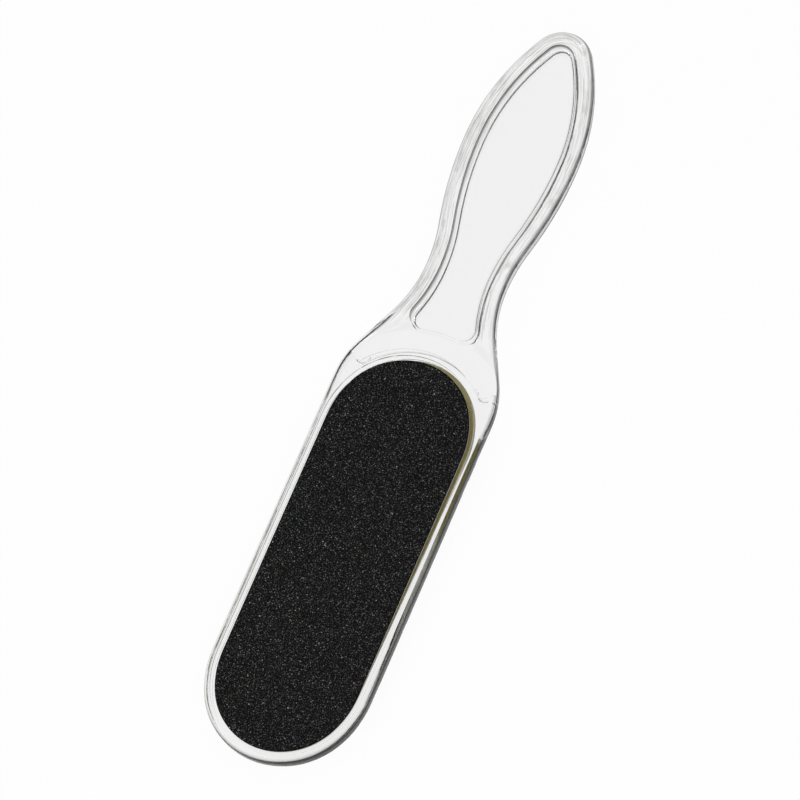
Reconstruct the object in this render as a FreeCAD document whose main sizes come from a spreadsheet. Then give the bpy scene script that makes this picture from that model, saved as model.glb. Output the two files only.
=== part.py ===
import FreeCAD, Part
import math
import os
import Sketcher

# A two-sided foot file: one clear moulded paddle with an abrasive pad bonded
# into a shallow pocket on each face.  Lengths are millimetres, angles degrees.
# In the sketches X runs across the file and Y from the head end to the handle.

doc = FreeCAD.newDocument("foot_file")
dims = doc.addObject("Spreadsheet::Sheet", "dims")

SIZES = [
    ("head_width", 53.07),
    ("head_end_stretch", 2.18),
    ("end_tip_share", 0.307),
    ("shoulder_drop", 11.85),
    ("head_thickness", 5.4),
    ("shoulder_radius", 30.0),
    ("shoulder_to_neck", 42.7),
    ("taper_share", 0.58),
    ("neck_width", 26.9),
    ("neck_radius", 54.3),
    ("neck_to_widest", 43.03),
    ("handle_width", 37.9),
    ("widest_to_tip", 41.85),
    ("recess_tip_radius", 5.1),
    ("handle_thickness", 6.4),
    ("edge_radius", 2.6),
    ("rim_width", 5.0),
    ("recess_depth", 1.6),
    ("recess_corner_radius", 5.2),
    ("recess_floor_radius", 2.0),
    ("hollow_gap", 3.7),
    ("hollow_to_recess", 5.65),
    ("hollow_depth", 1.3),
    ("hollow_half_angle", 52.0),
    ("hollow_corner_radius", 2.5),
    ("hollow_floor_length", 5.9),
    ("hollow_ramp_length", 7.0),
    ("pad_margin", 3.67),
    ("pad_length", 130.6),
    ("pocket_clearance", 1.5),
    ("pocket_depth", 0.5),
    ("adhesive_thickness", 0.1),
    ("paper_thickness", 0.4),
    ("grit_thickness", 0.5),
    ("front_pad_right", 0.24),
    ("front_pad_up", -0.25),
    ("front_pad_turn", 0.04),
    ("rear_pad_right", -0.15),
    ("rear_pad_up", 1.25),
    ("rear_pad_turn", -1.2),
    ("cut_overrun", 2.0),
]
for row, (name, value) in enumerate(SIZES, start=1):
    dims.set("A%d" % row, name)
    dims.set("B%d" % row, str(value))
    dims.setAlias("B%d" % row, name)
doc.recompute()


def size(name):
    return float(dims.get(name))


def sheet_formula(text):
    """Puts the sheet's name before each of its aliases in a formula."""
    words = []
    word = ""
    for letter in text + " ":
        if letter.isalnum() or letter == "_":
            word += letter
            continue
        words.append("dims." + word if word in NAMES else word)
        words.append(letter)
        word = ""
    return "".join(words).strip()


NAMES = {name for name, value in SIZES}
VECTOR = FreeCAD.Vector
FLAT = VECTOR(0, 0, 1)

# Formulas shared by several features.
HEAD_END = "(head_width / 2 + head_end_stretch)"
SHOULDER_Y = "(pad_margin + pad_length - shoulder_drop)"
NECK_Y = "(" + SHOULDER_Y + " + shoulder_to_neck)"
WIDEST_Y = "(" + NECK_Y + " + neck_to_widest)"
LENGTH = "(" + WIDEST_Y + " + widest_to_tip)"
HEAD_TIP = "(head_width / 2 - head_end_stretch * end_tip_share)"
PAD_WIDTH = "(head_width - 2 * pad_margin)"
PAD_TIP = "(" + PAD_WIDTH + " / 2 - head_end_stretch * end_tip_share)"
PAD_Y = "(pad_margin + pad_length / 2)"
PAD_END_Y = "(pad_margin + pad_length - " + PAD_TIP + ")"
HOLLOW_RADIUS = "(" + PAD_TIP + " + hollow_gap)"
RECESS_END = "(" + HOLLOW_RADIUS + " + hollow_to_recess)"
FLOOR_END = "(" + HOLLOW_RADIUS + " + hollow_floor_length)"
RAMP_END = "(" + FLOOR_END + " + hollow_ramp_length)"
HANDLE_TIP = "(recess_tip_radius + rim_width)"
RIM_Z = "(handle_thickness / 2)"
STOCK_Z = "(" + RIM_Z + " + recess_floor_radius)"
HEAD_Z = "(head_thickness / 2)"
POCKET_Z = "(" + HEAD_Z + " - pocket_depth)"
PAPER_Z = "(" + POCKET_Z + " + adhesive_thickness)"
GRIT_Z = "(" + PAPER_Z + " + paper_thickness)"
PAD_Z = "(" + GRIT_Z + " + grit_thickness)"
REST_Z = "max(" + RIM_Z + "; " + PAD_Z + ")"
HALF_WIDTH_LOSS = "(head_width / 2 - neck_width / 2)"
TAPER = "(atan(" + HALF_WIDTH_LOSS + " / shoulder_to_neck) * (1 + taper_share))"
NAPE_RADIUS = ("((shoulder_to_neck * sin(" + TAPER + ") - " + HALF_WIDTH_LOSS
               + " * cos(" + TAPER + ")) / (1 - cos(" + TAPER + ")) - shoulder_radius)")


sums = doc.addObject("Spreadsheet::Sheet", "sums")


def worth(formula):
    """The number a formula gives with the sheet's present values."""
    sums.set("A1", "=" + sheet_formula(formula))
    sums.recompute()
    answer = sums.get("A1")
    return float(getattr(answer, "Value", answer))


def bind(thing, target, formula):
    thing.setExpression(target, sheet_formula(formula))


def arc(centre_x, centre_y, radius, start, end):
    """An arc run counter-clockwise from one angle to the other, in radians."""
    circle = Part.Circle(VECTOR(centre_x, centre_y, 0), FLAT, radius)
    return Part.ArcOfCircle(circle, start, end)


def mirrored(piece):
    """The same arc or line on the other side of the Y axis."""
    if isinstance(piece, Part.LineSegment):
        first = piece.StartPoint
        last = piece.EndPoint
        return Part.LineSegment(VECTOR(-last.x, last.y, 0),
                                VECTOR(-first.x, first.y, 0))
    start = math.pi - piece.LastParameter
    end = math.pi - piece.FirstParameter
    return arc(-piece.Center.x, piece.Center.y, piece.Radius, start, end)


def new_sketch(body, name, plane="XY_Plane"):
    sketch = body.newObject("Sketcher::SketchObject", name)
    planes = [p for p in body.Origin.OriginFeatures if p.Role == plane]
    sketch.AttachmentSupport = (planes[0], "")
    sketch.MapMode = "FlatFace"
    return sketch


def hold(sketch, *terms):
    return sketch.addConstraint(Sketcher.Constraint(*terms))


def drive(sketch, title, formula, kind, *terms):
    """A driving dimension whose value is a formula of the sheet."""
    value = worth(formula)
    if kind == "Angle":
        value = math.radians(value)
    index = sketch.addConstraint(Sketcher.Constraint(kind, *terms, value))
    sketch.renameConstraint(index, title)
    bind(sketch, "Constraints." + title, formula)


def draw_loop(sketch, pieces, sharp=()):
    """Adds a closed run of (geometry, runs_forward) pieces, each tangent to
    the next but at the sharp joints, which are named by the piece before
    them.  Gives back each one's number, first end and last end."""
    ends = []
    for geometry, forward in pieces:
        number = sketch.addGeometry(geometry, False)
        ends.append((number, 1, 2) if forward else (number, 2, 1))
    for place, here in enumerate(ends):
        there = ends[(place + 1) % len(ends)]
        joint = "Coincident" if place in sharp else "Tangent"
        hold(sketch, joint, here[0], here[2], there[0], there[1])
    return ends


def draw_polygon(sketch, corners):
    """A closed run of lines whose corners are pairs of formulas."""
    points = [VECTOR(worth(x), worth(y), 0) for x, y in corners]
    lines = []
    for place, point in enumerate(points):
        after = points[(place + 1) % len(points)]
        lines.append((Part.LineSegment(point, after), True))
    run = draw_loop(sketch, lines, range(len(lines)))
    for place, (x, y) in enumerate(corners):
        drive(sketch, "across_%d" % place, x, "DistanceX", -1, 1, run[place][0], 1)
        drive(sketch, "along_%d" % place, y, "DistanceY", -1, 1, run[place][0], 1)


def two_sided(bottom, right, top):
    """A closed run: bottom piece, right side upward, top piece, left side."""
    left = [(mirrored(geometry), forward) for geometry, forward in right]
    return [bottom] + right + [top] + left[::-1]


def draw_oval(sketch, width, length, tip):
    """The pad shape: straight sides, and ends of three tangent arcs that
    stand out a little further than half the width."""
    half = worth(width) / 2
    far = worth(length) / 2
    stretch = size("head_end_stretch")
    straight = far - half - stretch
    tip_radius = worth(tip)
    flank = half + stretch + stretch / (2 * size("end_tip_share"))
    turn = math.atan2(half + stretch - tip_radius, flank - half)
    bottom = arc(0, tip_radius - far, tip_radius, math.pi + turn, 2 * math.pi - turn)
    top = arc(0, far - tip_radius, tip_radius, turn, math.pi - turn)
    right = [
        (arc(half - flank, -straight, flank, -turn, 0), True),
        (Part.LineSegment(VECTOR(half, -straight, 0), VECTOR(half, straight, 0)), True),
        (arc(half - flank, straight, flank, 0, turn), True),
    ]
    run = draw_loop(sketch, two_sided((bottom, True), right, (top, True)))
    low, side, high, other = run[0][0], run[2][0], run[4][0], run[6][0]
    hold(sketch, "PointOnObject", low, 3, -2)
    hold(sketch, "PointOnObject", high, 3, -2)
    hold(sketch, "Vertical", side)
    hold(sketch, "Symmetric", side, 1, other, 2, -2)
    hold(sketch, "Symmetric", side, 2, other, 1, -2)
    hold(sketch, "Equal", low, high)
    half_sides = length + " / 2 - " + width + " / 2 - head_end_stretch"
    drive(sketch, "half_width", width + " / 2", "DistanceX", -1, 1, side, 1)
    drive(sketch, "side_low", "-(" + half_sides + ")", "DistanceY", -1, 1, side, 1)
    drive(sketch, "side_high", half_sides, "DistanceY", -1, 1, side, 2)
    drive(sketch, "tip_radius", tip, "Radius", low)
    drive(sketch, "low_tip", tip + " - " + length + " / 2", "DistanceY", -1, 1, low, 3)
    drive(sketch, "high_tip", length + " / 2 - " + tip, "DistanceY", -1, 1, high, 3)


# The paddle's outline: an oval head end, straight sides, rounded shoulders,
# a slim neck and a leaf-shaped handle, all arcs and lines that meet smoothly.
head_half = size("head_width") / 2
neck_half = size("neck_width") / 2
handle_half = size("handle_width") / 2
head_end = worth(HEAD_END)
head_tip = worth(HEAD_TIP)
head_flank = head_end + size("head_end_stretch") / (2 * size("end_tip_share"))
head_turn = math.atan2(head_end - head_tip, head_flank - head_half)
shoulder_y = worth(SHOULDER_Y)
shoulder_radius = size("shoulder_radius")
taper = math.radians(worth(TAPER))
neck_y = worth(NECK_Y)
widest_y = worth(WIDEST_Y)
whole_length = worth(LENGTH)
nape_radius = worth(NAPE_RADIUS)
neck_radius = size("neck_radius")
swell = handle_half - neck_half
belly_sum = (swell ** 2 + size("neck_to_widest") ** 2) / (2 * swell)
belly_radius = belly_sum - neck_radius
belly_turn = math.asin(size("neck_to_widest") / belly_sum)
handle_tip = worth(HANDLE_TIP)
rise = size("widest_to_tip")
brow_radius = ((handle_half ** 2 + rise ** 2 - 2 * rise * handle_tip)
               / (2 * (handle_half - handle_tip)))
brow_turn = math.atan2(rise - handle_tip, brow_radius - handle_half)


def handle_side(inset, nape_turn):
    """The neck and handle arcs of the right side, set in from the outline."""
    return [
        (arc(neck_half + nape_radius, neck_y, nape_radius + inset,
             math.pi, math.pi + nape_turn), False),
        (arc(neck_half + neck_radius, neck_y, neck_radius + inset,
             math.pi - belly_turn, math.pi), False),
        (arc(handle_half - belly_radius, widest_y, belly_radius - inset,
             -belly_turn, 0), True),
        (arc(handle_half - brow_radius, widest_y, brow_radius - inset,
             0, brow_turn), True),
    ]


def handle_top(inset):
    return (arc(0, whole_length - handle_tip, handle_tip - inset,
                brow_turn, math.pi - brow_turn), True)


def hold_handle(sketch, right, left, tip, inset):
    """Fixes the neck and handle arcs of both sides, set in from the outline."""
    nape, neck, belly, brow = right
    other_brow, other_belly, other_neck, other_nape = left
    hold(sketch, "PointOnObject", tip[0], 3, -2)
    hold(sketch, "Horizontal", nape[0], 3, nape[0], 1)
    hold(sketch, "Horizontal", other_nape[0], 3, other_nape[0], 2)
    hold(sketch, "Horizontal", belly[0], 3, belly[0], 2)
    hold(sketch, "Horizontal", other_belly[0], 3, other_belly[0], 1)
    hold(sketch, "Symmetric", nape[0], 1, other_nape[0], 2, -2)
    hold(sketch, "Symmetric", belly[0], 2, other_belly[0], 1, -2)
    hold(sketch, "Equal", neck[0], other_neck[0])
    drive(sketch, "neck_half", "neck_width / 2 - " + inset,
          "DistanceX", -1, 1, nape[0], 1)
    drive(sketch, "neck_place", NECK_Y, "DistanceY", -1, 1, nape[0], 1)
    drive(sketch, "neck_bend", "neck_radius + " + inset, "Radius", neck[0])
    drive(sketch, "handle_half", "handle_width / 2 - " + inset,
          "DistanceX", -1, 1, belly[0], 2)
    drive(sketch, "widest_place", WIDEST_Y, "DistanceY", -1, 1, belly[0], 2)
    drive(sketch, "handle_end", HANDLE_TIP + " - " + inset, "Radius", tip[0])
    drive(sketch, "handle_end_place", LENGTH + " - " + HANDLE_TIP,
          "DistanceY", -1, 1, tip[0], 3)


def faces_at(shape, height):
    """The flat level faces of a shape at a height."""
    found = []
    for face in shape.Faces:
        box = face.BoundBox
        if max(abs(box.ZMin - height), abs(box.ZMax - height)) < shape.BoundBox.ZLength * NEAR:
            found.append(face)
    return found


def edge_names(shape, edges):
    names = []
    for number, edge in enumerate(shape.Edges, start=1):
        if any(edge.isSame(one) for one in edges):
            names.append("Edge%d" % number)
    return names


NEAR = 0.0001

half = doc.addObject("PartDesign::Body", "upper_half")

outline = new_sketch(half, "outline")
nape_side = handle_side(0, taper)
shoulder_end = VECTOR(head_half - shoulder_radius * (1 - math.cos(taper)),
                      shoulder_y + shoulder_radius * math.sin(taper), 0)
nape_start = VECTOR(neck_half + nape_radius * (1 - math.cos(taper)),
                    neck_y - nape_radius * math.sin(taper), 0)
outline_right = [
    (arc(head_half - head_flank, head_end, head_flank, -head_turn, 0), True),
    (Part.LineSegment(VECTOR(head_half, head_end, 0), VECTOR(head_half, shoulder_y, 0)), True),
    (arc(head_half - shoulder_radius, shoulder_y, shoulder_radius, 0, taper), True),
    (Part.LineSegment(shoulder_end, nape_start), True),
] + nape_side
outline_bottom = (arc(0, head_tip, head_tip, math.pi + head_turn, 2 * math.pi - head_turn), True)
run = draw_loop(outline, two_sided(outline_bottom, outline_right, handle_top(0)))
low, flank, side, shoulder, slope = run[0:5]
other_slope, other_shoulder, other_side, other_flank = run[14:18]
hold(outline, "PointOnObject", low[0], 3, -2)
hold(outline, "Vertical", side[0])
hold(outline, "Vertical", other_side[0])
hold(outline, "Symmetric", side[0], 2, other_side[0], 1, -2)
hold(outline, "Equal", flank[0], other_flank[0])
hold(outline, "Equal", shoulder[0], other_shoulder[0])
drive(outline, "head_half", "head_width / 2", "DistanceX", -1, 1, side[0], 1)
drive(outline, "head_end", HEAD_END, "DistanceY", -1, 1, side[0], 1)
drive(outline, "head_tip", HEAD_TIP, "Radius", low[0])
drive(outline, "head_tip_place", HEAD_TIP, "DistanceY", -1, 1, low[0], 3)
drive(outline, "shoulder_place", SHOULDER_Y, "DistanceY", -1, 1, side[0], 2)
drive(outline, "shoulder_bend", "shoulder_radius", "Radius", shoulder[0])
drive(outline, "slope_angle", "90 deg + " + TAPER, "Angle", slope[0])
hold(outline, "Equal", slope[0], other_slope[0])
hold_handle(outline, run[5:9], run[10:14], run[9], "0")

plate = half.newObject("PartDesign::Pad", "plate")
plate.Profile = outline
bind(plate, "Length", STOCK_Z)

# The finger recess of the handle: a shallow hollow that leaves a rim
# of even width, with its lower end on an arc about the head pad's end.
# Its wall is a cove whose radius is larger than the recess is deep, so it is
# cut and blended while the plate has stock to spare above the rim.
pad_end_y = worth(PAD_END_Y)
rim = size("rim_width")
recess_end = worth(RECESS_END)
bend = size("recess_corner_radius")
nape_x = neck_half + nape_radius
reach_low = recess_end + bend
reach_side = nape_radius + rim + bend
apart = math.hypot(nape_x, neck_y - pad_end_y)
across = nape_x / apart
along = (neck_y - pad_end_y) / apart
foot = (reach_low ** 2 - reach_side ** 2 + apart ** 2) / (2 * apart)
height = math.sqrt(reach_low ** 2 - foot ** 2)
bend_x = foot * across - height * along
bend_y = pad_end_y + foot * along + height * across
low_turn = math.atan2(bend_y - pad_end_y, bend_x)
side_turn = math.atan2(neck_y - bend_y, nape_x - bend_x)

recess_outline = new_sketch(half, "recess_outline")
bind(recess_outline, "AttachmentOffset.Base.z", STOCK_Z)
recess_right = [(arc(bend_x, bend_y, bend, low_turn - math.pi, side_turn), True)]
recess_right += handle_side(rim, side_turn)
recess_bottom = (arc(0, pad_end_y, recess_end, low_turn, math.pi - low_turn), False)
run = draw_loop(recess_outline, two_sided(recess_bottom, recess_right, handle_top(rim)))
hold(recess_outline, "PointOnObject", run[0][0], 3, -2)
hold(recess_outline, "Equal", run[1][0], run[11][0])
hold(recess_outline, "Equal", run[2][0], run[10][0])
drive(recess_outline, "end_place", PAD_END_Y, "DistanceY", -1, 1, run[0][0], 3)
drive(recess_outline, "end_bend", RECESS_END, "Radius", run[0][0])
drive(recess_outline, "corner_bend", "recess_corner_radius", "Radius", run[1][0])
drive(recess_outline, "nape_bend", NAPE_RADIUS + " + rim_width", "Radius", run[2][0])
hold_handle(recess_outline, run[2:6], run[7:11], run[6], "rim_width")

recess = half.newObject("PartDesign::Pocket", "recess")
recess.Profile = recess_outline
bind(recess, "Length", "recess_depth + recess_floor_radius")
doc.recompute()

recess_floor = faces_at(recess.Shape, worth(RIM_Z + " - recess_depth"))[0]
cove = half.newObject("PartDesign::Fillet", "cove")
cove.Base = (recess, edge_names(recess.Shape, recess_floor.OuterWire.Edges))
bind(cove, "Radius", "recess_floor_radius")

# The stock above the rim is faced off.
facing_outline = new_sketch(half, "facing_outline")
bind(facing_outline, "AttachmentOffset.Base.z", STOCK_Z)
FACING_X = "(head_width / 2 + cut_overrun)"
draw_polygon(facing_outline, [
    ("-" + FACING_X, "-cut_overrun"),
    (FACING_X, "-cut_overrun"),
    (FACING_X, LENGTH + " + cut_overrun"),
    ("-" + FACING_X, LENGTH + " + cut_overrun"),
])
facing = half.newObject("PartDesign::Pocket", "facing")
facing.Profile = facing_outline
bind(facing, "Length", "recess_floor_radius")
doc.recompute()

# The outer edge is rolled over all round, so the rim is smooth in the hand.
rim_edges = faces_at(facing.Shape, worth(RIM_Z))[0].OuterWire.Edges
rolled_edge = half.newObject("PartDesign::Fillet", "rolled_edge")
rolled_edge.Base = (facing, edge_names(facing.Shape, rim_edges))
bind(rolled_edge, "Radius", "edge_radius")
doc.recompute()

# The head's faces lie a little lower than the handle's rim.
head_step_outline = new_sketch(half, "head_step_outline")
bind(head_step_outline, "AttachmentOffset.Base.z", RIM_Z)
STEP_Y = "(" + PAD_END_Y + " + " + HOLLOW_RADIUS + " + hollow_floor_length / 2)"
draw_polygon(head_step_outline, [
    ("-" + FACING_X, "-cut_overrun"),
    (FACING_X, "-cut_overrun"),
    (FACING_X, STEP_Y),
    ("-" + FACING_X, STEP_Y),
])
head_step = half.newObject("PartDesign::Pocket", "head_step")
head_step.Profile = head_step_outline
bind(head_step, "Length", RIM_Z + " - " + HEAD_Z)

# Between head and handle both faces are hollowed: a level floor that starts
# at an arc about the pad's end and has rounded corners.
hollow_outline = new_sketch(half, "hollow_outline")
bind(hollow_outline, "AttachmentOffset.Base.z", RIM_Z)
spread = math.radians(size("hollow_half_angle"))
wall_radius = worth(HOLLOW_RADIUS)
floor_end = worth(FLOOR_END)
bend = size("hollow_corner_radius")
leg_start = math.sqrt((wall_radius + bend) ** 2 - bend ** 2)
bend_x = leg_start * math.sin(spread) - bend * math.cos(spread)
bend_y = leg_start * math.cos(spread) + bend * math.sin(spread)
bend_turn = math.atan2(bend_y, bend_x)
inner = (arc(0, pad_end_y, wall_radius, bend_turn, math.pi - bend_turn), False)
outer = (arc(0, pad_end_y, floor_end, math.pi / 2 - spread, math.pi / 2 + spread), True)
leg = Part.LineSegment(
    VECTOR(leg_start * math.sin(spread), pad_end_y + leg_start * math.cos(spread), 0),
    VECTOR(floor_end * math.sin(spread), pad_end_y + floor_end * math.cos(spread), 0))
corner = arc(bend_x, pad_end_y + bend_y, bend, bend_turn - math.pi, -spread)
run = draw_loop(hollow_outline, two_sided(inner, [(corner, True), (leg, True)], outer), (2, 3))
wall, corner, leg, outer, other_leg, other_corner = [one[0] for one in run]
hold(hollow_outline, "PointOnObject", wall, 3, -2)
hold(hollow_outline, "Coincident", outer, 3, wall, 3)
hold(hollow_outline, "Equal", corner, other_corner)
hold(hollow_outline, "PointOnObject", wall, 3, leg)
hold(hollow_outline, "PointOnObject", wall, 3, other_leg)
hold(hollow_outline, "Horizontal", leg, 2, other_leg, 1)
drive(hollow_outline, "centre_place", PAD_END_Y, "DistanceY", -1, 1, wall, 3)
drive(hollow_outline, "wall_bend", HOLLOW_RADIUS, "Radius", wall)
drive(hollow_outline, "floor_end", FLOOR_END, "Radius", outer)
drive(hollow_outline, "corner_bend", "hollow_corner_radius", "Radius", corner)
drive(hollow_outline, "leg_angle", "90 deg - hollow_half_angle * 1 deg", "Angle", leg)
hollow = half.newObject("PartDesign::Pocket", "hollow")
hollow.Profile = hollow_outline
bind(hollow, "Length", "hollow_depth")
doc.recompute()

# From that floor a ramp turned about the pad's end rises to the handle's rim
# in two equal bends, so no crease shows where it runs out.
ramp_profile = new_sketch(half, "ramp_profile", "YZ_Plane")
rim_z = worth(RIM_Z)
floor_z = worth(RIM_Z + " - hollow_depth")
ramp = size("hollow_ramp_length")
drop = size("hollow_depth")
above = rim_z + size("cut_overrun")
swing = (ramp ** 2 + drop ** 2) / (4 * drop)
swing_turn = math.asin(ramp / (2 * swing))
start_y = pad_end_y + floor_end - size("hollow_floor_length") / 2
foot_y = pad_end_y + floor_end
crest_y = pad_end_y + worth(RAMP_END)
run = draw_loop(ramp_profile, [
    (Part.LineSegment(VECTOR(start_y, floor_z, 0), VECTOR(foot_y, floor_z, 0)), True),
    (arc(foot_y, floor_z + swing, swing, -math.pi / 2, swing_turn - math.pi / 2), True),
    (arc(crest_y, rim_z - swing, swing, math.pi / 2, swing_turn + math.pi / 2), False),
    (Part.LineSegment(VECTOR(crest_y, rim_z, 0), VECTOR(crest_y, above, 0)), True),
    (Part.LineSegment(VECTOR(crest_y, above, 0), VECTOR(start_y, above, 0)), True),
    (Part.LineSegment(VECTOR(start_y, above, 0), VECTOR(start_y, floor_z, 0)), True),
], (2, 3, 4, 5))
level, dip, crest, rise_line, lid, fall_line = [one[0] for one in run]
axis = ramp_profile.addGeometry(
    Part.LineSegment(VECTOR(pad_end_y, 0, 0), VECTOR(pad_end_y, rim_z, 0)), True)
hold(ramp_profile, "Horizontal", level)
hold(ramp_profile, "Vertical", rise_line)
hold(ramp_profile, "Horizontal", lid)
hold(ramp_profile, "Vertical", fall_line)
hold(ramp_profile, "Vertical", crest, 3, crest, 1)
hold(ramp_profile, "Equal", dip, crest)
hold(ramp_profile, "Vertical", axis)
hold(ramp_profile, "PointOnObject", axis, 1, -1)
FOOT_Y = "(" + PAD_END_Y + " + " + FLOOR_END + ")"
drive(ramp_profile, "start", FOOT_Y + " - hollow_floor_length / 2",
      "DistanceX", -1, 1, level, 1)
drive(ramp_profile, "foot", FOOT_Y, "DistanceX", -1, 1, level, 2)
drive(ramp_profile, "floor", RIM_Z + " - hollow_depth", "DistanceY", -1, 1, level, 1)
drive(ramp_profile, "crest", PAD_END_Y + " + " + RAMP_END, "DistanceX", -1, 1, crest, 1)
drive(ramp_profile, "crest_height", RIM_Z, "DistanceY", -1, 1, crest, 1)
drive(ramp_profile, "lid_height", RIM_Z + " + cut_overrun", "DistanceY", -1, 1, lid, 1)
drive(ramp_profile, "axis_place", PAD_END_Y, "DistanceX", -1, 1, axis, 1)
drive(ramp_profile, "axis_height", RIM_Z, "DistanceY", -1, 1, axis, 2)
ramp_cut = half.newObject("PartDesign::Groove", "ramp_cut")
ramp_cut.Profile = ramp_profile
ramp_cut.ReferenceAxis = (ramp_profile, ["Axis0"])
ramp_cut.Midplane = True
bind(ramp_cut, "Angle", "2 * hollow_half_angle")
doc.recompute()

# The pocket that takes the abrasive pad, with a little room all round.
pocket_outline = new_sketch(half, "pocket_outline")
bind(pocket_outline, "AttachmentOffset.Base.y", PAD_Y)
bind(pocket_outline, "AttachmentOffset.Base.z", HEAD_Z)
draw_oval(pocket_outline, "(" + PAD_WIDTH + " + 2 * pocket_clearance)",
          "(pad_length + 2 * pocket_clearance)", "(" + PAD_TIP + " + pocket_clearance)")
pocket = half.newObject("PartDesign::Pocket", "pocket")
pocket.Profile = pocket_outline
bind(pocket, "Length", "pocket_depth")
doc.recompute()

# Both faces are the same, so the lower half mirrors the upper one.
lower_half = doc.addObject("Part::Mirroring", "lower_half")
lower_half.Source = half
lower_half.Normal = FLAT
paddle = doc.addObject("Part::Fuse", "paddle_body")
paddle.Base = half
paddle.Tool = lower_half
paddle.Refine = True
paddle.Label = "paddle"
bind(paddle, "Placement.Base.y", "-" + LENGTH + " / 2")
bind(paddle, "Placement.Base.z", REST_Z)

SUBPARTS = [paddle]


def pad_layer(side, label, thickness, low):
    """One layer of an abrasive pad: the pad shape, placed in its pocket."""
    layer = doc.addObject("PartDesign::Body", side + "_" + label + "_body")
    shape = new_sketch(layer, side + "_" + label + "_outline")
    draw_oval(shape, PAD_WIDTH, "pad_length", PAD_TIP)
    sheet = layer.newObject("PartDesign::Pad", side + "_" + label + "_sheet")
    sheet.Profile = shape
    bind(sheet, "Length", thickness)
    layer.Label = side + "_" + label
    layer.Placement = FreeCAD.Placement(VECTOR(0, 0, 0), FreeCAD.Rotation(FLAT, 0))
    bind(layer, "Placement.Base.x", side + "_pad_right")
    bind(layer, "Placement.Base.y", PAD_Y + " - " + LENGTH + " / 2 + " + side + "_pad_up")
    bind(layer, "Placement.Base.z", REST_Z + " + " + low)
    bind(layer, "Placement.Rotation.Angle", side + "_pad_turn")
    SUBPARTS.append(layer)


pad_layer("front", "adhesive_film", "adhesive_thickness", POCKET_Z)
pad_layer("front", "backing_paper", "paper_thickness", PAPER_Z)
pad_layer("front", "grit_coat", "grit_thickness", GRIT_Z)
pad_layer("rear", "adhesive_film", "adhesive_thickness", "(-" + PAPER_Z + ")")
pad_layer("rear", "backing_paper", "paper_thickness", "(-" + GRIT_Z + ")")
pad_layer("rear", "grit_coat", "grit_thickness", "(-" + PAD_Z + ")")
doc.removeObject("sums")
doc.recompute()

for thing in doc.Objects:
    if "Invalid" in thing.State or "Error" in thing.State:
        raise RuntimeError(thing.Name + " did not build")
os.makedirs("parts", exist_ok=True)
for part in SUBPARTS:
    if part.Shape.isNull() or not part.Shape.isValid() or len(part.Shape.Solids) != 1:
        raise RuntimeError(part.Label + " is not one sound solid")
    part.Shape.exportStep("parts/" + part.Label + ".step")
    box = part.Shape.BoundBox
    print(part.Label, round(part.Shape.Volume, 2), box)
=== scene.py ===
# %% [markdown]
# # A clear foot file with two black abrasive pads
#
# The object is a paddle moulded in one piece from clear plastic, with an oval
# abrasive pad bonded into a shallow pocket on each face of its head.  The CAD
# model gives every shape and place.  This script dresses it: it gives the
# plastic its clear finish, lays real grains on the pads, and sets up a camera
# and a small white studio.

# %% Load the CAD model
import math

import bpy
import numpy as np
from mathutils import Matrix, Vector


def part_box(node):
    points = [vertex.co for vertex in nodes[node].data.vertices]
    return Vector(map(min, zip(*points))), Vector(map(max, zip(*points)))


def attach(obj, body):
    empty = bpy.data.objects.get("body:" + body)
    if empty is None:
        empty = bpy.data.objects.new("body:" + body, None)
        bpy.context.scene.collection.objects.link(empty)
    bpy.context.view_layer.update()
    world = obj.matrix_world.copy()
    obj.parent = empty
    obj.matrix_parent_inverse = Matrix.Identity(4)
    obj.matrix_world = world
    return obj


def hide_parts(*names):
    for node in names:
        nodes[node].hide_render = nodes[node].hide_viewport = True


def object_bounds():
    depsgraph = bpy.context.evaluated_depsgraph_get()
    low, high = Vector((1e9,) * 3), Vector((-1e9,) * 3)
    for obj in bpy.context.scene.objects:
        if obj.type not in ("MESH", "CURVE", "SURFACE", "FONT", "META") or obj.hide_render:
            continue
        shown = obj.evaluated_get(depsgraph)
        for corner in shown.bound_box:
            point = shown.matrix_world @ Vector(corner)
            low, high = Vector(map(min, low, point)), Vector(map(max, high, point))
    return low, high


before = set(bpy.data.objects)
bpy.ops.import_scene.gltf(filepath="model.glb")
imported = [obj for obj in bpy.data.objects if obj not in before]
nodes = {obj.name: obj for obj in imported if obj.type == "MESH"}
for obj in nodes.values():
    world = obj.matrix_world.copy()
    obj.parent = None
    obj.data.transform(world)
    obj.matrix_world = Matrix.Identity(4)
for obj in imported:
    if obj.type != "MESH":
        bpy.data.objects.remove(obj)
cad_low, cad_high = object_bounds()
scene = bpy.context.scene
scene.view_settings.view_transform = "Standard"
print("CAD box from", tuple(cad_low), "to", tuple(cad_high))

# %% [markdown]
# ## The camera
#
# The photograph looks down on the file from a little to its right and from
# the head's end, with a long lens, and the camera is rolled so that the handle
# points to the upper right.  A camera could be aimed with a constraint, but
# the roll is plainer when the three axes of the camera are worked out and put
# into its matrix: one axis points back to the eye, one right and one up.

# %% Camera at the photograph's angle
EYE_ACROSS = 0.3397
EYE_ALONG = -0.2703
EYE_ROLL = -0.5351
EYE_DISTANCE = 2.459
PIXELS_PER_METRE = 3294.6
FRAME_PIXELS = 800.0
MIDDLE_PIXEL = (415.95, 393.14)

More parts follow.
